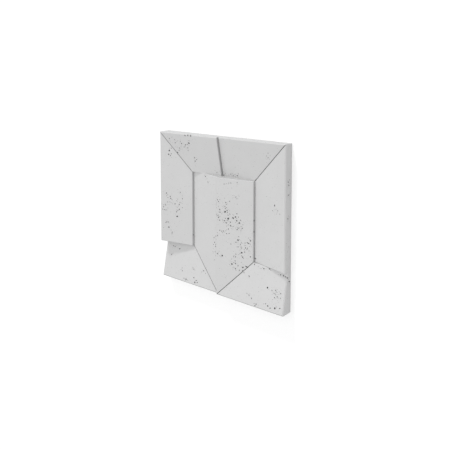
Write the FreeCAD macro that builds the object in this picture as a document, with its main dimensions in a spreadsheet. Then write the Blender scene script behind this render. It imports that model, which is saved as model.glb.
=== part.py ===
"""Relief wall panel: a square tile cast in one piece of concrete, flat at the back.

Its front is a fold pattern of eight sloping facets. Each facet falls from a crest to a valley,
and each is cast at one of two levels, high or low, so that it lies flush with some neighbours and
a step above or below the others. A narrow V-joint runs along the upright and the slanting lines
between the facets, and the standing edges are broken by a small arris.

Frame: the back lies on z = 0 with its centre at the origin, x runs to the right and y to the top
edge of the panel as it is read on a wall, and z points out of the relief.
"""
import FreeCAD, Part
import Sketcher
import os

Vector = FreeCAD.Vector

PANEL_NODE = "relief_panel"

# Driving sizes in millimetres, each with the alias that the sketches and features use
SIZES = [
    ("panel_width", 600, "left edge to right edge"),
    ("panel_height", 600, "bottom edge to top edge"),
    ("side_facet", 150, "width of the facets along the left and right edges"),
    ("end_facet", 150, "height of the facets along the top and bottom edges"),
    ("high_crest", 50, "back to the crest of a high facet"),
    ("high_valley", 20, "back to the valley of a high facet"),
    ("low_crest", 40, "back to the crest of a low facet"),
    ("low_valley", 10, "back to the valley of a low facet"),
    ("outer_arris", 3.5, "chamfer round the panel's front edge"),
    ("step_arris", 1.2, "chamfer on a facet's edge where it stands above its neighbour"),
    ("joint_width", 1.5, "how far a joint reaches into each facet beside it"),
    ("joint_depth", 4, "how far a joint is cut down the side of each facet beside it"),
]

# The upright and level lines of the plan, as expressions of the sheet's cells
COLUMNS = {
    "left": "-Sizes.panel_width / 2",
    "inner_left": "Sizes.side_facet - Sizes.panel_width / 2",
    "middle": "0 mm",
    "inner_right": "Sizes.panel_width / 2 - Sizes.side_facet",
    "right": "Sizes.panel_width / 2",
}
ROWS = {
    "top": "Sizes.panel_height / 2",
    "upper": "Sizes.panel_height / 2 - Sizes.end_facet",
    "lower": "Sizes.end_facet - Sizes.panel_height / 2",
    "bottom": "-Sizes.panel_height / 2",
}

# How the sides of a facet are finished: the sheet's size across the facet, and the one down its side
FINISHES = {
    "outer": ("outer_arris", "outer_arris"),
    "step": ("step_arris", "step_arris"),
    "joint": ("joint_width", "joint_depth"),
}

# Each facet: its name, its level, the lines of its crest and its valley, and its corners, each
# with the finish of the side that runs from it to the next corner
FACETS = [
    ("left_facet", "high", "left", "inner_left",
     [("left", "top", "outer"), ("left", "lower", "step"),
      ("inner_left", "lower", "step"), ("inner_left", "upper", "joint")]),
    ("top_left_facet", "high", "top", "upper",
     [("left", "top", "joint"), ("inner_left", "upper", "plain"),
      ("middle", "upper", "step"), ("middle", "top", "outer")]),
    ("top_right_facet", "low", "top", "upper",
     [("middle", "top", "joint"), ("middle", "upper", "plain"),
      ("inner_right", "upper", "joint"), ("right", "top", "outer")]),
    ("right_facet", "low", "right", "inner_right",
     [("right", "top", "joint"), ("inner_right", "upper", "joint"),
      ("inner_right", "lower", "step"), ("right", "lower", "outer")]),
    ("bottom_left_facet", "low", "bottom", "lower",
     [("left", "lower", "outer"), ("left", "bottom", "outer"),
      ("middle", "bottom", "joint"), ("inner_left", "lower", "plain")]),
    ("bottom_right_facet", "high", "bottom", "lower",
     [("right", "lower", "step"), ("inner_right", "lower", "joint"),
      ("middle", "bottom", "outer"), ("right", "bottom", "outer")]),
    ("centre_left_facet", "low", "middle", "inner_left",
     [("middle", "upper", "step"), ("inner_left", "upper", "joint"),
      ("inner_left", "lower", "joint"), ("middle", "bottom", "joint")]),
    ("centre_right_facet", "high", "middle", "inner_right",
     [("middle", "upper", "step"), ("middle", "bottom", "joint"),
      ("inner_right", "lower", "step"), ("inner_right", "upper", "step")]),
]


def make_sizes(doc):
    """The sheet of driving sizes, one row each: alias, value, meaning."""
    sheet = doc.addObject("Spreadsheet::Sheet", "Sizes")
    for row, (alias, value, meaning) in enumerate(SIZES, start=1):
        sheet.set(f"A{row}", alias)
        sheet.set(f"B{row}", str(value))
        sheet.set(f"C{row}", meaning)
        sheet.setAlias(f"B{row}", alias)
    doc.recompute()
    return sheet


def value_of(sheet, expression):
    """What an expression of the sheet's cells comes to, in millimetres."""
    return float(sheet.evalExpression(expression))


def new_sketch(body, role, name):
    """An empty sketch on one of the body's own origin planes."""
    plane = [feature for feature in body.Origin.OriginFeatures if feature.Role == role][0]
    sketch = body.newObject("Sketcher::SketchObject", name)
    sketch.AttachmentSupport = [(plane, "")]
    sketch.MapMode = "FlatFace"
    return sketch


def pin_corners(sketch, sheet, places):
    """Hold each corner at its two distances from the origin, which the sheet gives."""
    for side, place in enumerate(places):
        for direction, expression in zip(("DistanceX", "DistanceY"), place):
            if expression == COLUMNS["middle"]:
                above_origin = Sketcher.Constraint("Vertical", -1, 1, side, 1)
                sketch.addConstraint(above_origin)
                continue
            value = value_of(sheet, expression)
            distance = Sketcher.Constraint(direction, -1, 1, side, 1, value)
            sketch.setExpression(f"Constraints[{sketch.addConstraint(distance)}]", expression)


def draw_outline(sketch, sheet, places):
    """Close a polygon through places that the sheet gives, each a pair of expressions."""
    points = [Vector(value_of(sheet, across), value_of(sheet, up), 0) for across, up in places]
    count = len(points)
    for index in range(count):
        sketch.addGeometry(Part.LineSegment(points[index], points[(index + 1) % count]), False)
    for index in range(count):
        sketch.addConstraint(Sketcher.Constraint("Coincident", index, 2, (index + 1) % count, 1))
    pin_corners(sketch, sheet, places)


def make_block(body, sheet, name, level, corners):
    """The facet's block: its outline in the plan, raised to its crest."""
    plan = new_sketch(body, "XY_Plane", f"{name}_plan")
    draw_outline(plan, sheet, [(COLUMNS[column], ROWS[row]) for column, row, finish in corners])
    block = body.newObject("PartDesign::Pad", f"{name}_block")
    block.Profile = plan
    block.setExpression("Length", f"Sizes.{level}_crest")
    return block


def cut_slope(body, sheet, name, level, crest_line, valley_line):
    """Cut the block's top down to a plane that falls from the crest line to the valley line."""
    falls_across = crest_line in COLUMNS
    lines = COLUMNS if falls_across else ROWS
    slope = new_sketch(body, "XZ_Plane" if falls_across else "YZ_Plane", f"{name}_slope")
    crest = f"Sizes.{level}_crest"
    valley = f"Sizes.{level}_valley"
    draw_outline(slope, sheet, [
        (lines[crest_line], crest),
        (lines[valley_line], valley),
        (lines[valley_line], crest),
    ])
    cut = body.newObject("PartDesign::Pocket", f"{name}_fall")
    cut.Profile = slope
    cut.Type = "ThroughAll"
    cut.SideType = "Symmetric"
    return cut


def sloping_face(shape):
    """The facet's own face: the largest one that looks up."""
    upward = [face for face in shape.Faces if face.normalAt(0, 0).z > 0.5]
    return max(upward, key=lambda face: face.Area)


def side_edge(shape, start, end):
    """Name of the sloping face's edge along the side that runs from start to end in the plan."""
    along = (end - start).normalize()

    def distance_off(edge):
        corners = [Vector(vertex.X, vertex.Y, 0) for vertex in edge.Vertexes]
        return max(abs(along.cross(corner - start).z) for corner in corners)

    wanted = min(sloping_face(shape).Edges, key=distance_off)
    index = [edge.isSame(wanted) for edge in shape.Edges].index(True)
    return f"Edge{index + 1}"


def break_edges(doc, body, base, name, finish, edges):
    """Chamfer these edges of the body's last feature, by the two sizes of their finish."""
    across, down = FINISHES[finish]
    chamfer = body.newObject("PartDesign::Chamfer", name)
    chamfer.Base = (base, edges)
    chamfer.ChamferType = "Two distances"
    chamfer.setExpression("Size", f"Sizes.{across}")
    chamfer.setExpression("Size2", f"Sizes.{down}")
    doc.recompute()
    return chamfer


def cut_joint(doc, body, base, name, edge):
    """Cut one side of a V-joint, with its wider size down the facet's side."""
    joint = break_edges(doc, body, base, name, "joint", [edge])
    upright_area = sloping_face(joint.Shape).Area
    joint.FlipDirection = True
    doc.recompute()
    if sloping_face(joint.Shape).Area < upright_area:
        joint.FlipDirection = False
        doc.recompute()
    return joint


def finish_sides(doc, body, sheet, base, name, corners):
    """Break the facet's sides, the outer ones first, then its steps and its joints."""
    places = [
        Vector(value_of(sheet, COLUMNS[column]), value_of(sheet, ROWS[row]), 0)
        for column, row, finish in corners
    ]
    sides = [
        (places[index], places[(index + 1) % len(places)], finish)
        for index, (column, row, finish) in enumerate(corners)
    ]
    for wanted in ("outer", "step"):
        edges = [side_edge(base.Shape, start, end) for start, end, finish in sides if finish == wanted]
        if edges:
            base = break_edges(doc, body, base, f"{name}_{wanted}_arris", wanted, edges)
    for start, end, finish in sides:
        if finish == "joint":
            base = cut_joint(doc, body, base, f"{name}_joint", side_edge(base.Shape, start, end))


def make_facet(doc, sheet, name, level, crest_line, valley_line, corners):
    """One facet of the fold pattern, from the back of the panel to its front."""
    body = doc.addObject("PartDesign::Body", name)
    body.Label = name
    block = make_block(body, sheet, name, level, corners)
    doc.recompute()
    fall = cut_slope(body, sheet, name, level, crest_line, valley_line)
    doc.recompute()
    if fall.Shape.Volume >= block.Shape.Volume:
        raise RuntimeError(f"the slope of {name} cuts nothing")
    finish_sides(doc, body, sheet, fall, name, corners)
    return body


def make_panel(doc, facets):
    """The cast panel: all facets as one solid."""
    panel = doc.addObject("Part::MultiFuse", PANEL_NODE)
    panel.Label = PANEL_NODE
    panel.Shapes = facets
    panel.Refine = True
    return panel


def check(doc, panel):
    """Stop before anything is written if a feature failed or the panel isn't one solid."""
    for item in doc.Objects:
        if "Invalid" in item.State or "Error" in item.State:
            raise RuntimeError(f"{item.Name} failed: {item.State}")
    if panel.Shape.isNull() or not panel.Shape.isValid():
        raise RuntimeError("the panel's shape isn't valid")
    if len(panel.Shape.Solids) != 1:
        raise RuntimeError(f"the panel has {len(panel.Shape.Solids)} solids")


def main():
    """Build the panel and write it to parts."""
    doc = FreeCAD.newDocument("relief_wall_panel")
    sheet = make_sizes(doc)
    facets = [make_facet(doc, sheet, *facet) for facet in FACETS]
    panel = make_panel(doc, facets)
    doc.recompute()
    check(doc, panel)
    os.makedirs("parts", exist_ok=True)
    panel.Shape.exportStep(f"parts/{panel.Label}.step")
    box = panel.Shape.BoundBox
    print(f"{panel.Label}: {len(panel.Shape.Faces)} faces, {panel.Shape.Volume / 1e6:.3f} litres")
    print(f"box {box.XLength:.2f} x {box.YLength:.2f} x {box.ZLength:.2f} mm")


main()
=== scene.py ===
"""Looks of the relief wall panel: its cast concrete surface with air pores, and a plain studio.

The panel lies on its back on a pale floor. x and y are its width and height as it is read on a
wall, z points out of its relief, and everything is in metres.
"""
import math
import random

import bmesh
import bpy
from bpy.props import FloatProperty, FloatVectorProperty, IntProperty, PointerProperty
from mathutils import Matrix, Vector
from mathutils.bvhtree import BVHTree


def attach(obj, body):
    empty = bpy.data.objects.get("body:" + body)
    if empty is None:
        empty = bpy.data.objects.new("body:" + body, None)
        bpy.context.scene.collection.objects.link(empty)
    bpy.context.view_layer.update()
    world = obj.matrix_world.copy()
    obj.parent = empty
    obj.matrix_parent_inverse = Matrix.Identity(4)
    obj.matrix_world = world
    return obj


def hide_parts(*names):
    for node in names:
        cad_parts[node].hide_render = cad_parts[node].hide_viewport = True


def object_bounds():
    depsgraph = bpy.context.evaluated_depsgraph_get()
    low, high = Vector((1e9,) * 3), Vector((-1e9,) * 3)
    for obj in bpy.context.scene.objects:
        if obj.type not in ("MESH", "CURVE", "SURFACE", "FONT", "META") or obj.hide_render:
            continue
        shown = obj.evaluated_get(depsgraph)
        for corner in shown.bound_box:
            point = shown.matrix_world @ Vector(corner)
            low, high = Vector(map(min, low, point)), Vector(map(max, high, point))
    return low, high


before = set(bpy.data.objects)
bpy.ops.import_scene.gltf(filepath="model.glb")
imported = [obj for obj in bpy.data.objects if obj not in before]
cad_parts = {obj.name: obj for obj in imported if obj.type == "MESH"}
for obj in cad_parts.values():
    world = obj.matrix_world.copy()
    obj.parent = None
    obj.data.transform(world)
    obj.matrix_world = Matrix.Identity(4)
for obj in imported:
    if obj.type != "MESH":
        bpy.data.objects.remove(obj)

bl_info = {
    "name": "Relief Wall Panel",
    "version": (1, 0, 0),
    "blender": (4, 5, 0),
    "location": "View3D > Sidebar > Wall Panel",
    "description": "Casts a faceted concrete wall panel with air pores and sets up its studio",
    "category": "Object",
}

MM = 0.001
PANEL_NODE = "relief_panel"
PANEL_PIECE = "cast_relief_panel"
CAD_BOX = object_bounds()

# Crowds of air pores on the front, in millimetres from the panel's centre: where the widest one
# lies, how far the others spread across and up from it, how many others, and the widest's width
FRONT_PORES = [
    # The centre facets, from the top down
    ((-60, 120), (8, 5), 6, 5.5),
    ((-75, 140), (5, 4), 6, 5.5),
    ((60, 135), (20, 8), 10, 4.5),
    ((80, 85), (10, 10), 12, 4.5),
    ((40, 60), (14, 10), 18, 5.0),
    ((10, 60), (8, 12), 10, 4.5),
    ((15, 30), (8, 10), 12, 5.5),
    ((45, 30), (14, 10), 18, 5.0),
    ((50, 0), (14, 10), 24, 8.5),
    ((70, 5), (10, 10), 16, 7.5),
    ((95, -10), (10, 10), 18, 7.0),
    ((10, 0), (6, 14), 18, 5.5),
    ((35, -10), (10, 6), 14, 5.5),
    ((60, -25), (14, 10), 20, 5.5),
    ((90, -30), (10, 8), 12, 5.0),
    ((30, -50), (14, 12), 16, 4.5),
    ((90, -75), (8, 8), 12, 7.0),
    ((100, -90), (14, 12), 18, 4.5),
    ((140, -70), (5, 8), 8, 5.5),
    ((130, -80), (10, 10), 18, 7.0),
    ((120, -100), (10, 10), 12, 5.0),
    ((105, -120), (10, 10), 20, 7.5),
    ((80, -140), (8, 10), 12, 4.5),
    ((140, -130), (5, 12), 8, 5.0),
    ((65, -170), (8, 6), 10, 7.0),
    ((80, -165), (10, 8), 12, 5.0),
    ((110, -175), (10, 8), 12, 7.0),
    ((125, -170), (4, 4), 0, 8.5),
    ((80, -185), (10, 6), 10, 5.0),
    ((-10, 45), (5, 40), 8, 3.0),
    ((5, -70), (6, 14), 6, 4.5),
    ((-20, -105), (8, 10), 16, 5.5),
    ((-5, -125), (6, 8), 8, 5.5),
    ((5, -140), (8, 8), 12, 5.0),
    ((25, -145), (6, 6), 8, 7.5),
    ((-30, -145), (10, 12), 10, 4.0),
    # The left facet
    ((-255, 225), (5, 6), 5, 7.5),
    ((-250, 205), (4, 6), 3, 4.5),
    ((-270, 50), (8, 8), 5, 5.5),
    ((-205, 60), (6, 8), 4, 4.5),
    ((-250, 30), (12, 10), 10, 5.5),
    ((-195, 35), (5, 10), 4, 4.5),
    ((-230, 10), (14, 10), 12, 5.5),
    ((-210, 10), (8, 8), 8, 5.0),
    ((-275, 0), (8, 8), 10, 4.5),
    ((-210, -10), (8, 6), 10, 5.5),
    ((-280, -20), (10, 8), 10, 4.5),
    ((-220, -40), (5, 6), 6, 8.0),
    ((-270, -70), (8, 8), 6, 5.5),
    ((-260, -90), (8, 10), 8, 7.0),
    ((-245, -110), (8, 12), 6, 4.0),
    # The top facets, with the pores that break their front arris
    ((-160, 294), (4, 3), 3, 6.5),
    ((-145, 296), (5, 2), 3, 6.5),
    ((-130, 295), (5, 3), 4, 6.5),
    ((-145, 265), (6, 4), 8, 8.0),
    ((-185, 260), (14, 10), 10, 5.5),
    ((-220, 260), (12, 10), 10, 5.0),
    ((-250, 275), (8, 6), 4, 5.0),
    ((-200, 240), (20, 12), 20, 4.5),
    ((-155, 245), (12, 10), 10, 4.5),
    ((-215, 220), (3, 3), 1, 7.0),
    ((-125, 195), (8, 8), 10, 5.5),
    ((-20, 162), (14, 5), 8, 3.5),
    ((40, 162), (22, 5), 12, 4.0),
    ((70, 160), (3, 2), 2, 6.0),
    ((220, 245), (10, 10), 8, 4.0),
    # The right facet
    ((250, 80), (4, 5), 3, 6.5),
    ((265, 65), (8, 6), 8, 3.5),
    ((240, 60), (6, 8), 4, 3.0),
    ((155, -136), (3, 3), 1, 6.5),
    # The bottom left facet
    ((-260, -175), (10, 8), 6, 5.5),
    ((-225, -180), (6, 6), 6, 6.0),
    ((-265, -210), (5, 5), 3, 5.5),
    ((-195, -260), (24, 12), 10, 4.5),
    ((-135, -240), (8, 8), 5, 4.5),
    ((-85, -235), (6, 6), 5, 5.0),
    ((-130, -272), (4, 3), 4, 5.5),
    ((-170, -288), (8, 3), 8, 7.0),
    ((-122, -288), (6, 3), 8, 7.5),
    # The bottom right facet
    ((265, -280), (6, 3), 6, 7.5),
    ((235, -280), (8, 4), 8, 6.0),
    ((285, -275), (6, 3), 4, 5.0),
    ((260, -220), (9, 8), 24, 4.5),
    ((270, -240), (8, 8), 24, 4.5),
    ((225, -220), (3, 3), 2, 7.0),
    ((285, -165), (5, 3), 3, 5.5),
    ((225, -155), (8, 3), 5, 6.0),
    ((200, -160), (12, 4), 12, 5.5),
    ((158, -154), (3, 2), 2, 5.0),
    ((140, -200), (4, 4), 3, 5.5),
    ((150, -265), (6, 6), 5, 5.0),
    ((185, -287), (7, 4), 7, 5.0),
]
# How many lone pores are scattered over the whole front, and the width that they stay under
FRONT_SCATTER = 260
FRONT_SCATTER_WIDTH = 2.0
# Crowds of pores on upright sides, the panel's edges and its steps: the side's outward direction and
# how far out a pore is looked for from, then where the widest lies along the side and above the back,
# the spread, how many others, and the widest's width
SIDE_PORES = [
    ((1, 0, 0), 310, (168, 22), (8, 5), 7, 5.5),
    ((1, 0, 0), 310, (122, 20), (8, 6), 9, 5.0),
    ((1, 0, 0), 310, (40, 22), (10, 6), 9, 5.5),
    ((1, 0, 0), 310, (-168, 18), (5, 4), 6, 8.0),
    ((1, 0, 0), 310, (-186, 9), (8, 5), 8, 7.0),
    ((1, 0, 0), 310, (-60, 15), (90, 9), 18, 3.0),
    ((-1, 0, 0), 310, (0, 18), (150, 10), 40, 4.0),
    ((-1, 0, 0), 310, (120, 20), (20, 8), 12, 5.0),
    ((0, 1, 0), 310, (160, 30), (8, 4), 3, 3.5),
    ((0, 1, 0), 310, (-134, 42), (8, 3), 4, 4.0),
    ((0, 1, 0), 310, (-40, 18), (150, 9), 24, 3.0),
    ((0, -1, 0), 310, (-60, 18), (150, 9), 34, 4.0),
    ((0, -1, 0), 310, (140, 20), (24, 8), 10, 5.0),
    ((1, 0, 0), 156, (5, 15), (4, 2), 1, 6.5),
    ((1, 0, 0), 156, (-36, 15), (4, 2), 1, 6.5),
    ((1, 0, 0), -144, (-107, 15), (4, 2), 1, 6.5),
]
# The least width of a pore in millimetres, and a power that makes wide ones the rarer, the higher it is
PORE_SMALLEST = 1.2
PORE_RARITY = 1.9
PORE_SEED = 57
# How far a pore is drawn out along the surface, which share of them are long ones, how lumpy they
# are, and the least wall between two of them
ROUND_STRETCH = (1.0, 1.25)
LONG_STRETCH = (1.4, 1.9)
LONG_PORES = 0.16
LUMPS = 0.1
PORE_WALL = 0.15 * MM
# A pore is set where its ray meets the surface at least this squarely, and the rays onto the front
# start this far above its crests
RAY_LEAST_SQUARE = 0.7
RAY_RISE = 0.1

# What is taken for one corner and, in degrees, for one flat face when the solid's triangles are
# joined up, and how far in radians an outward edge turns at least to be rounded
SAME_CORNER = 0.001 * MM
SAME_FACE = 0.4
ARRIS_LEAST_TURN = 0.2
# The finishes of the cast body's faces, in the order of its material slots; all but the plain one are
# darker greys painted as shade
PLAIN, SHADED_JOINT, SHADED_STEP, SHADED_TOP_STEP, SHADED_LOWER_ARRIS = range(5)
# The sides of the V-joints are the faces that look up only this much, and their darker grey is painted
# shade deep in the joints
JOINT_LEAST_UP = 0.2
JOINT_MOST_UP = 0.5
# The lower arrises are the sloping faces that look down the wall at least this much, and their darker
# grey is painted shade
ARRIS_DOWN = 0.35
# The upright sides of the steps lie at least this far inside the panel's edges, and the step between
# the two top facets lies above this height on the wall. Both are darker greys painted as the shade in
# the steps, the top step the darkest.
STEPS_INSIDE = 20 * MM
TOP_STEP_FROM = 150 * MM

# How strongly a finish shows the cement skin: its mottling, sand grain, pinholes and relief
CAST_SKIN = (0.016, 0.02, 1.0, 0.35)
SIDE_SKIN = (0.016, 0.02, 0.0, 0.35)
# The lower arrises' skin is more mottled, under a dark grey that is painted shade
SHADED_ARRIS_SKIN = (0.11, 0.06, 0.0, 0.5)
PORE_SKIN = (0.02, 0.06, 0.0, 0.6)
# The height of the skin's relief, its shine, and its least and most roughness
SKIN_RELIEF = 0.5 * MM
SKIN_SPECULAR = 0.25
SKIN_ROUGHNESS = (0.68, 0.88)
# The skin's patterns: how many of their features there are to the metre, how fine their detail goes
# and how rough it is
CLOUDS = (5.0, 5.0, 0.55)
BLOTCHES = (38.0, 4.0, 0.6)
GRAIN = (620.0, 3.0, 0.65)
PINHOLE_CROWDS = (9.0, 2.0, 0.5)
PINHOLE_CELLS = 210.0
# The part of a noise pattern's range that is used, and the part in which pinholes come up to their
# full share of the cells
NOISE_RANGE = (0.3, 0.7)
PINHOLE_CROWD_RANGE = (0.42, 0.66)
PINHOLE_SHARE = 0.34
# A pinhole's least and most radius and its rim, against its cell's size, and how much painted shade
# darkens it
PINHOLE_RADII = (0.08, 0.2)
PINHOLE_RIM = 0.05
PINHOLE_SHADE = 0.55
# How much the blotches count beside the clouds, and what the grain and the blotches add in height
BLOTCH_SHARE = 0.6
GRAIN_HEIGHT = 0.12
BLOTCH_HEIGHT = 0.25

# The camera's place, its turn about the panel's upright and its dip towards the bottom edge, both in
# degrees, its lens in millimetres, and its vertical shift
CAMERA_PLACE = (1.3301, 0.5690, 1.6101)
CAMERA_TURN = 39.53
CAMERA_DIP = 4.91
CAMERA_LENS = 44.62
CAMERA_SHIFT = -0.25
SENSOR_WIDTH = 36.0
# The floor's side, and how far under the panel's back it lies
FLOOR_SIDE = 60.0
FLOOR_DROP = 0.2 * MM
# Where each lamp's light comes from, how broad the lamp looks in degrees, and how far out it stands
KEY_FROM = (-0.25, 1.0, 0.38)
KEY_BREADTH = 7.0
FILL_FROM = (0.1, 0.1, 1.0)
FILL_BREADTH = 90.0
LAMP_DISTANCE = 3
WHITE = (1.0, 1.0, 1.0, 1.0)


def grey_choice(name, description, tone):
    """A colour that the user may change, a grey of this tone at first."""
    return FloatVectorProperty(
        name=name, description=description, default=(tone, tone, tone), size=3,
        min=0.0, max=1.0, subtype="COLOR",
    )


class PanelLooks(bpy.types.PropertyGroup):
    """Sizes and colours of the cast surface."""

    arris_round: FloatProperty(
        name="Arris rounding", description="How far the cast arrises are rounded over",
        default=0.7 * MM, min=0.0, max=2.0 * MM, precision=4, unit="LENGTH",
    )
    pore_sink: FloatProperty(
        name="Pore sink", description="Depth of a pore's centre, as a share of its radius",
        default=0.35, min=0.0, max=0.8, subtype="FACTOR",
    )
    seed: IntProperty(name="Pore seed", description="Which cast this is", default=PORE_SEED)
    concrete: grey_choice("Concrete", "Colour of the dry cement skin", 0.655)
    # Painted shade: the V-joints' sides are a darker grey that stands for the shade deep in them
    joints: grey_choice("Joint sides", "Colour deep in the V-joints, where the cement stays dark", 0.40)
    # Painted shade: the step between the two top facets is the darkest grey, standing for the deeper
    # shade there
    shaded_top_step: grey_choice("Top step", "Colour of the upright side between the two top facets", 0.44)
    # Painted shade: the lower arrises are a darker grey that stands for the shade on edges turned down
    # the wall, away from the light
    shaded_lower_arris: grey_choice(
        "Lower arrises", "Colour of the arrises that look down the wall, weathered dark", 0.42)
    # Painted shade: the steps' upright sides are a darker grey that stands for the shade between high
    # and low facets
    steps: grey_choice("Step sides", "Colour of the upright sides between high and low facets", 0.56)
    # Painted shade: the pores are real hollows, and their lining is also a dark grey that stands for
    # the shade deep inside them
    lining: grey_choice("Pore lining", "Colour inside the air pores", 0.24)


class StageLooks(bpy.types.PropertyGroup):
    """The floor and lights of the studio."""

    floor: grey_choice("Floor", "Colour of the studio floor", 0.80)
    floor_lift: FloatProperty(
        name="Floor lift", description="Even white that the lens sees on top of the floor's own tone",
        default=0.31,
    )
    sky: FloatProperty(
        name="Room light", description="Strength of the even light all round", default=0.66,
    )
    key: FloatProperty(
        name="Key light", description="Strength of the soft light past the top edge", default=1.0,
    )
    fill: FloatProperty(
        name="Fill light", description="Strength of the broad light from the front", default=0.62,
    )


def new_link(tree, source, target):
    """Join two sockets of a node tree."""
    tree.links.new(source, target)


def add_node(tree, kind, **settings):
    """A node of one kind with its properties set."""
    node = tree.nodes.new(kind)
    for name, value in settings.items():
        setattr(node, name, value)
    return node


def noise_of(tree, vector, scale, detail, roughness):
    """A noise texture's value over the surface, at so many features to the metre."""
    noise = add_node(tree, "ShaderNodeTexNoise")
    noise.inputs["Scale"].default_value = scale
    noise.inputs["Detail"].default_value = detail
    noise.inputs["Roughness"].default_value = roughness
    new_link(tree, vector, noise.inputs["Vector"])
    return noise.outputs["Fac"]


def ranged(tree, value, low, high, to_low, to_high):
    """A value spread from one range to another, and held within it."""
    node = add_node(tree, "ShaderNodeMapRange")
    limits = {"From Min": low, "From Max": high, "To Min": to_low, "To Max": to_high}
    for name, amount in limits.items():
        node.inputs[name].default_value = amount
    new_link(tree, value, node.inputs["Value"])
    return node.outputs["Result"]


def joined(tree, operation, first, second):
    """What one math node makes of two values or numbers."""
    node = add_node(tree, "ShaderNodeMath", operation=operation)
    for socket, value in zip(node.inputs, (first, second)):
        if isinstance(value, (int, float)):
            socket.default_value = value
        else:
            new_link(tree, value, socket)
    return node.outputs["Value"]


def pinholes_of(tree, vector):
    """One where a pinhole is and nought elsewhere: small round holes in some cells of a pattern."""
    cells = add_node(tree, "ShaderNodeTexVoronoi", feature="F1")
    cells.inputs["Scale"].default_value = PINHOLE_CELLS
    new_link(tree, vector, cells.inputs["Vector"])
    chances = add_node(tree, "ShaderNodeSeparateColor")
    new_link(tree, cells.outputs["Color"], chances.inputs["Color"])
    crowds = noise_of(tree, vector, *PINHOLE_CROWDS)
    share = ranged(tree, crowds, *PINHOLE_CROWD_RANGE, 0.0, PINHOLE_SHARE)
    chosen = joined(tree, "LESS_THAN", chances.outputs["Red"], share)
    radius = ranged(tree, chances.outputs["Green"], 0.0, 1.0, *PINHOLE_RADII)
    inwards = joined(tree, "SUBTRACT", radius, cells.outputs["Distance"])
    hole = ranged(tree, inwards, 0.0, PINHOLE_RIM, 0.0, 1.0)
    return joined(tree, "MULTIPLY", hole, chosen)


def cement_skin_group():
    """Node group for the cement skin: mottling, sand grain and pinholes over a base colour; a pinhole
    is a dip in height with painted shade in its colour.
    """
    tree = bpy.data.node_groups.new("cement_skin", "ShaderNodeTree")
    face = tree.interface
    face.new_socket("Vector", in_out="INPUT", socket_type="NodeSocketVector")
    face.new_socket("Colour", in_out="INPUT", socket_type="NodeSocketColor")
    face.new_socket("Mottle", in_out="INPUT", socket_type="NodeSocketFloat")
    face.new_socket("Grain", in_out="INPUT", socket_type="NodeSocketFloat")
    face.new_socket("Pinholes", in_out="INPUT", socket_type="NodeSocketFloat")
    face.new_socket("Colour", in_out="OUTPUT", socket_type="NodeSocketColor")
    face.new_socket("Roughness", in_out="OUTPUT", socket_type="NodeSocketFloat")
    face.new_socket("Height", in_out="OUTPUT", socket_type="NodeSocketFloat")
    inside = add_node(tree, "NodeGroupInput")
    outside = add_node(tree, "NodeGroupOutput")
    vector = inside.outputs["Vector"]

    clouds, blotches, grain = [
        ranged(tree, noise_of(tree, vector, *pattern), *NOISE_RANGE, -1.0, 1.0)
        for pattern in (CLOUDS, BLOTCHES, GRAIN)
    ]
    pinhole = joined(tree, "MULTIPLY", pinholes_of(tree, vector), inside.outputs["Pinholes"])

    mottled = joined(tree, "ADD", clouds, joined(tree, "MULTIPLY", blotches, BLOTCH_SHARE))
    shade = joined(tree, "MULTIPLY", mottled, inside.outputs["Mottle"])
    shade = joined(tree, "ADD", shade, joined(tree, "MULTIPLY", grain, inside.outputs["Grain"]))
    shade = joined(tree, "ADD", shade, 1.0)
    # A pinhole's shade is painted into the colour
    clear = joined(tree, "SUBTRACT", 1.0, joined(tree, "MULTIPLY", pinhole, PINHOLE_SHADE))
    shade = joined(tree, "MULTIPLY", shade, clear)

    tint = add_node(tree, "ShaderNodeVectorMath", operation="SCALE")
    new_link(tree, inside.outputs["Colour"], tint.inputs[0])
    new_link(tree, shade, tint.inputs["Scale"])
    new_link(tree, tint.outputs["Vector"], outside.inputs["Colour"])

    rough = ranged(tree, joined(tree, "ADD", blotches, grain), -2.0, 2.0, *SKIN_ROUGHNESS)
    new_link(tree, rough, outside.inputs["Roughness"])

    raised = joined(tree, "MULTIPLY", blotches, BLOTCH_HEIGHT)
    height = joined(tree, "ADD", joined(tree, "MULTIPLY", grain, GRAIN_HEIGHT), raised)
    height = joined(tree, "SUBTRACT", height, pinhole)
    new_link(tree, height, outside.inputs["Height"])
    return tree


def concrete_material(name, colour, skin, strengths):
    """Dry fair-faced concrete in one colour, with the cement skin's own texture."""
    mottle, grain, pinholes, bump = strengths
    material = bpy.data.materials.new(name)
    material.use_nodes = True
    tree = material.node_tree
    shader = tree.nodes["Principled BSDF"]
    place = add_node(tree, "ShaderNodeTexCoord")
    group = add_node(tree, "ShaderNodeGroup", node_tree=skin)
    group.inputs["Colour"].default_value = (*colour, 1.0)
    group.inputs["Mottle"].default_value = mottle
    group.inputs["Grain"].default_value = grain
    group.inputs["Pinholes"].default_value = pinholes
    relief = add_node(tree, "ShaderNodeBump")
    relief.inputs["Strength"].default_value = bump
    relief.inputs["Distance"].default_value = SKIN_RELIEF
    new_link(tree, place.outputs["Object"], group.inputs["Vector"])
    new_link(tree, group.outputs["Colour"], shader.inputs["Base Color"])
    new_link(tree, group.outputs["Roughness"], shader.inputs["Roughness"])
    new_link(tree, group.outputs["Height"], relief.inputs["Height"])
    new_link(tree, relief.outputs["Normal"], shader.inputs["Normal"])
    shader.inputs["Specular IOR Level"].default_value = SKIN_SPECULAR
    return material


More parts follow.
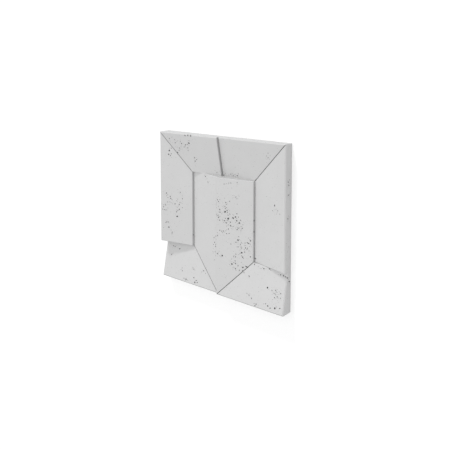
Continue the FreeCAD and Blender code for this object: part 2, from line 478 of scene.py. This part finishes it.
def finish_of(face):
    """Which finish a face of the cast body has, by its place and the way it looks: the joints, steps
    and lower arrises get darker greys painted as shade.
    """
    place, outward = face.calc_center_median(), face.normal
    # The sides of the V-joints get a darker grey, which is painted shade
    if JOINT_LEAST_UP < outward.z < JOINT_MOST_UP:
        return SHADED_JOINT
    # Faces that look down the wall get the lower arrises' darker grey, which is painted shade
    if outward.y < -ARRIS_DOWN and outward.z > JOINT_LEAST_UP:
        return SHADED_LOWER_ARRIS
    inside = all(abs(place[axis]) < CAD_BOX[1][axis] - STEPS_INSIDE for axis in (0, 1))
    if not inside or abs(outward.z) > JOINT_LEAST_UP:
        return PLAIN
    # Upright sides inside the panel get the darker greys of the steps, which are painted shade
    looks_across = abs(outward.x) > abs(outward.y)
    return SHADED_TOP_STEP if looks_across and place.y > TOP_STEP_FROM else SHADED_STEP


def cast_body(arris_round):
    """The panel's solid as one closed bmesh of flat faces, its outward arrises rounded."""
    body = bmesh.new()
    body.from_mesh(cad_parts[PANEL_NODE].data)
    bmesh.ops.remove_doubles(body, verts=body.verts, dist=SAME_CORNER)
    bmesh.ops.dissolve_limit(
        body, angle_limit=math.radians(SAME_FACE), verts=body.verts, edges=body.edges,
        use_dissolve_boundaries=False, delimit=set(),
    )
    arrises = [
        edge for edge in body.edges
        if edge.is_convex and edge.calc_face_angle(0) > ARRIS_LEAST_TURN
    ]
    bmesh.ops.bevel(
        body, geom=arrises, offset=arris_round, offset_type="OFFSET", segments=2, profile=0.5,
        affect="EDGES", clamp_overlap=True, material=-1,
    )
    bmesh.ops.recalc_face_normals(body, faces=body.faces)
    for face in body.faces:
        face.material_index = finish_of(face)
    return body


def add_pore(bubbles, place, normal, radius, stretch, sink, chance):
    """One air pore: a lumpy bubble sunk into the surface at a place."""
    turn = normal.to_track_quat("Z", "Y").to_matrix().to_4x4()
    spin = Matrix.Rotation(chance.uniform(0, math.tau), 4, "Z")
    lay = turn @ spin @ Matrix.Diagonal((stretch, 1 / stretch, 1.0, 1.0))
    lay.translation = place - normal * radius * sink
    bubble = bmesh.new()
    bmesh.ops.create_icosphere(bubble, subdivisions=2, radius=radius)
    for vert in bubble.verts:
        vert.co *= chance.uniform(1 - LUMPS, 1 + LUMPS)
    bmesh.ops.transform(bubble, matrix=lay, verts=bubble.verts)
    mesh = bpy.data.meshes.new("bubble")
    bubble.to_mesh(mesh)
    bubble.free()
    bubbles.from_mesh(mesh)
    bpy.data.meshes.remove(mesh)


def pore_width(widest, chance):
    """A pore's width in metres: most are small, and a few come near the widest."""
    share = chance.random() ** PORE_RARITY
    return (PORE_SMALLEST + (widest - PORE_SMALLEST) * share) * MM


def set_pores(bubbles, skin, taken, wanted, chance, sink):
    """Set pores where the wanted rays find open surface clear of other pores."""
    for start, direction, width in wanted:
        place, normal, index, distance = skin.ray_cast(start, direction)
        if place is None or normal.dot(direction) > -RAY_LEAST_SQUARE:
            continue
        stretches = LONG_STRETCH if chance.random() < LONG_PORES else ROUND_STRETCH
        stretch = chance.uniform(*stretches)
        reach = width / 2 * stretch * (1 + LUMPS) + PORE_WALL
        if any((other - place).length < reach + other_reach for other, other_reach in taken):
            continue
        taken.append((place, reach))
        add_pore(bubbles, place, normal, width / 2, stretch, sink, chance)


def others_of(middle, spread, count, widest, chance):
    """Places and widths of the pores about the widest one of a crowd."""
    for index in range(count):
        across = chance.gauss(middle[0], spread[0]) * MM
        up = chance.gauss(middle[1], spread[1]) * MM
        yield across, up, pore_width(widest, chance)


def front_places(chance):
    """Places and widths of the front's pores: the widest of every crowd, the others, the lone ones."""
    for (across, up), spread, count, widest in FRONT_PORES:
        yield across * MM, up * MM, widest * MM
    for crowd in FRONT_PORES:
        yield from others_of(*crowd, chance)
    for index in range(FRONT_SCATTER):
        x = chance.uniform(CAD_BOX[0].x, CAD_BOX[1].x)
        y = chance.uniform(CAD_BOX[0].y, CAD_BOX[1].y)
        yield x, y, pore_width(FRONT_SCATTER_WIDTH, chance)


def front_rays(chance):
    """Rays down onto the front."""
    for x, y, width in front_places(chance):
        yield Vector((x, y, CAD_BOX[1].z + RAY_RISE)), Vector((0, 0, -1)), width


def side_rays(chance):
    """Rays onto the upright sides, the widest pore of each crowd first."""
    for outward, out_from, middle, spread, count, widest in SIDE_PORES:
        out = Vector(outward)
        side = Vector((abs(out.y), abs(out.x), 0))
        first = (middle[0] * MM, middle[1] * MM, widest * MM)
        for along, above, width in [first, *others_of(middle, spread, count, widest, chance)]:
            place = side * along + out * out_from * MM
            place.z = above
            yield place, -out, width


def air_bubbles(body, looks):
    """All the air bubbles as one bmesh of separate closed balls."""
    chance = random.Random(looks.seed)
    skin = BVHTree.FromBMesh(body)
    bubbles = bmesh.new()
    taken = []
    set_pores(bubbles, skin, taken, front_rays(chance), chance, looks.pore_sink)
    set_pores(bubbles, skin, taken, side_rays(chance), chance, looks.pore_sink)
    return bubbles


def piece_from(body, name, materials):
    """A new object at the origin from a bmesh, in these materials."""
    mesh = bpy.data.meshes.new(name)
    body.to_mesh(mesh)
    body.free()
    for material in materials:
        mesh.materials.append(material)
    piece = bpy.data.objects.new(name, mesh)
    bpy.context.scene.collection.objects.link(piece)
    return piece


def cut_away(piece, cutter):
    """Cut one closed piece out of another, and remove the cutter."""
    cut = piece.modifiers.new("air_pores", "BOOLEAN")
    cut.operation = "DIFFERENCE"
    cut.solver = "MANIFOLD"
    cut.material_mode = "TRANSFER"
    cut.object = cutter
    shown = piece.evaluated_get(bpy.context.evaluated_depsgraph_get())
    mesh = bpy.data.meshes.new_from_object(shown)
    piece.modifiers.clear()
    old = piece.data
    piece.data = mesh
    mesh.name = old.name
    bpy.data.meshes.remove(old)
    bpy.data.meshes.remove(cutter.data)


class PANEL_OT_cast(bpy.types.Operator):
    """Cast the panel: its faceted body with rounded arrises and air pores"""

    bl_idname = "wall_panel.cast"
    bl_label = "Cast the Panel"

    def execute(self, context):
        looks = context.scene.panel_looks
        skin = cement_skin_group()
        concrete = concrete_material("cast_concrete", looks.concrete, skin, CAST_SKIN)
        # The joint, step, top step and lower arris materials are darker greys painted as shade
        joints = concrete_material("shaded_joint_sides", looks.joints, skin, SIDE_SKIN)
        steps = concrete_material("shaded_step_sides", looks.steps, skin, SIDE_SKIN)
        shaded_top_step = concrete_material("shaded_top_step", looks.shaded_top_step, skin, SIDE_SKIN)
        # The lower arrises' material: a darker grey painted as shade
        arris = concrete_material("shaded_lower_arris", looks.shaded_lower_arris, skin, SHADED_ARRIS_SKIN)
        # The pores' lining material, a dark grey painted as shade
        lining = concrete_material("shaded_pore_lining", looks.lining, skin, PORE_SKIN)
        body = cast_body(looks.arris_round)
        bubbles = piece_from(air_bubbles(body, looks), "air_bubbles", [lining])
        panel = piece_from(body, PANEL_PIECE, [concrete, joints, steps, shaded_top_step, arris])
        cut_away(panel, bubbles)
        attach(panel, "root")
        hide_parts(PANEL_NODE)
        return {"FINISHED"}


def seen_by_lens(tree):
    """One where the lens sees a surface, also by reflection or through glass, and else nought."""
    path = add_node(tree, "ShaderNodeLightPath")
    by_gloss, through = path.outputs["Is Glossy Ray"], path.outputs["Is Transmission Ray"]
    mirrored = joined(tree, "MAXIMUM", by_gloss, through)
    return joined(tree, "MAXIMUM", path.outputs["Is Camera Ray"], mirrored)


def white_to_the_lens(tree, surface, amount):
    """A surface that the lens and its reflections see lifted by an even white."""
    glow = add_node(tree, "ShaderNodeEmission")
    glow.inputs["Color"].default_value = WHITE
    lift = joined(tree, "MULTIPLY", seen_by_lens(tree), amount)
    new_link(tree, lift, glow.inputs["Strength"])
    both = add_node(tree, "ShaderNodeAddShader")
    new_link(tree, surface, both.inputs[0])
    new_link(tree, glow.outputs["Emission"], both.inputs[1])
    return both.outputs["Shader"]


def make_floor(looks):
    """The pale floor that the panel lies on."""
    body = bmesh.new()
    bmesh.ops.create_grid(body, x_segments=1, y_segments=1, size=FLOOR_SIDE / 2)
    bmesh.ops.translate(body, vec=(0, 0, CAD_BOX[0].z - FLOOR_DROP), verts=body.verts)
    material = bpy.data.materials.new("studio_floor")
    material.use_nodes = True
    tree = material.node_tree
    shader = tree.nodes["Principled BSDF"]
    shader.inputs["Base Color"].default_value = (*looks.floor, 1.0)
    shader.inputs["Roughness"].default_value = 1.0
    shader.inputs["Specular IOR Level"].default_value = 0.0
    lifted = white_to_the_lens(tree, shader.outputs["BSDF"], looks.floor_lift)
    new_link(tree, lifted, tree.nodes["Material Output"].inputs["Surface"])
    piece_from(body, "studio_floor", [material])


def make_room(looks):
    """Even light from all round, white where the lens sees past the floor."""
    world = bpy.data.worlds.new("studio_room")
    world.use_nodes = True
    bpy.context.scene.world = world
    tree = world.node_tree
    light = tree.nodes["Background"]
    light.inputs["Color"].default_value = WHITE
    light.inputs["Strength"].default_value = looks.sky
    white = add_node(tree, "ShaderNodeBackground")
    white.inputs["Color"].default_value = WHITE
    mix = add_node(tree, "ShaderNodeMixShader")
    new_link(tree, seen_by_lens(tree), mix.inputs["Fac"])
    new_link(tree, light.outputs["Background"], mix.inputs[1])
    new_link(tree, white.outputs["Background"], mix.inputs[2])
    new_link(tree, mix.outputs["Shader"], tree.nodes["World Output"].inputs["Surface"])


def make_lamp(name, towards, strength, breadth):
    """A distant soft lamp that stands towards one direction and shines back from it."""
    data = bpy.data.lights.new(name, "SUN")
    data.energy = strength
    data.angle = math.radians(breadth)
    lamp = bpy.data.objects.new(name, data)
    lamp.rotation_mode = "QUATERNION"
    lamp.rotation_quaternion = Vector(towards).to_track_quat("Z", "Y")
    lamp.location = Vector(towards) * LAMP_DISTANCE
    bpy.context.scene.collection.objects.link(lamp)


def make_camera():
    """The camera, which looks down on the panel with the panel's top edge up in the picture."""
    data = bpy.data.cameras.new("studio_camera")
    data.sensor_width = SENSOR_WIDTH
    data.lens = CAMERA_LENS
    data.shift_y = CAMERA_SHIFT
    camera = bpy.data.objects.new("studio_camera", data)
    camera.location = CAMERA_PLACE
    camera.rotation_euler = (math.radians(-CAMERA_DIP), math.radians(CAMERA_TURN), 0.0)
    bpy.context.scene.collection.objects.link(camera)
    bpy.context.scene.camera = camera


class PANEL_OT_stage(bpy.types.Operator):
    """Set up the floor, the soft lights and the camera"""

    bl_idname = "wall_panel.stage"
    bl_label = "Set Up the Studio"

    def execute(self, context):
        looks = context.scene.stage_looks
        make_floor(looks)
        make_room(looks)
        make_lamp("key_lamp", KEY_FROM, looks.key, KEY_BREADTH)
        make_lamp("fill_lamp", FILL_FROM, looks.fill, FILL_BREADTH)
        make_camera()
        context.scene.view_settings.view_transform = "Standard"
        return {"FINISHED"}


class PANEL_PT_tools(bpy.types.Panel):
    """The wall panel's tools in the 3D view's sidebar"""

    bl_idname = "PANEL_PT_tools"
    bl_label = "Relief Wall Panel"
    bl_space_type = "VIEW_3D"
    bl_region_type = "UI"
    bl_category = "Wall Panel"

    def draw(self, context):
        column = self.layout.column()
        for group in (context.scene.panel_looks, context.scene.stage_looks):
            for name in group.__annotations__:
                column.prop(group, name)
        for operator in (PANEL_OT_cast, PANEL_OT_stage):
            column.operator(operator.bl_idname)


CLASSES = (PanelLooks, StageLooks, PANEL_OT_cast, PANEL_OT_stage, PANEL_PT_tools)


def register():
    """Add the classes and the scene's settings."""
    for item in CLASSES:
        bpy.utils.register_class(item)
    bpy.types.Scene.panel_looks = PointerProperty(type=PanelLooks)
    bpy.types.Scene.stage_looks = PointerProperty(type=StageLooks)


def unregister():
    """Take the classes and the scene's settings away."""
    del bpy.types.Scene.stage_looks
    del bpy.types.Scene.panel_looks
    for item in reversed(CLASSES):
        bpy.utils.unregister_class(item)


def main():
    """Cast the panel and set up its studio."""
    register()
    bpy.ops.wall_panel.cast()
    bpy.ops.wall_panel.stage()


if __name__ == "__main__":
    main()
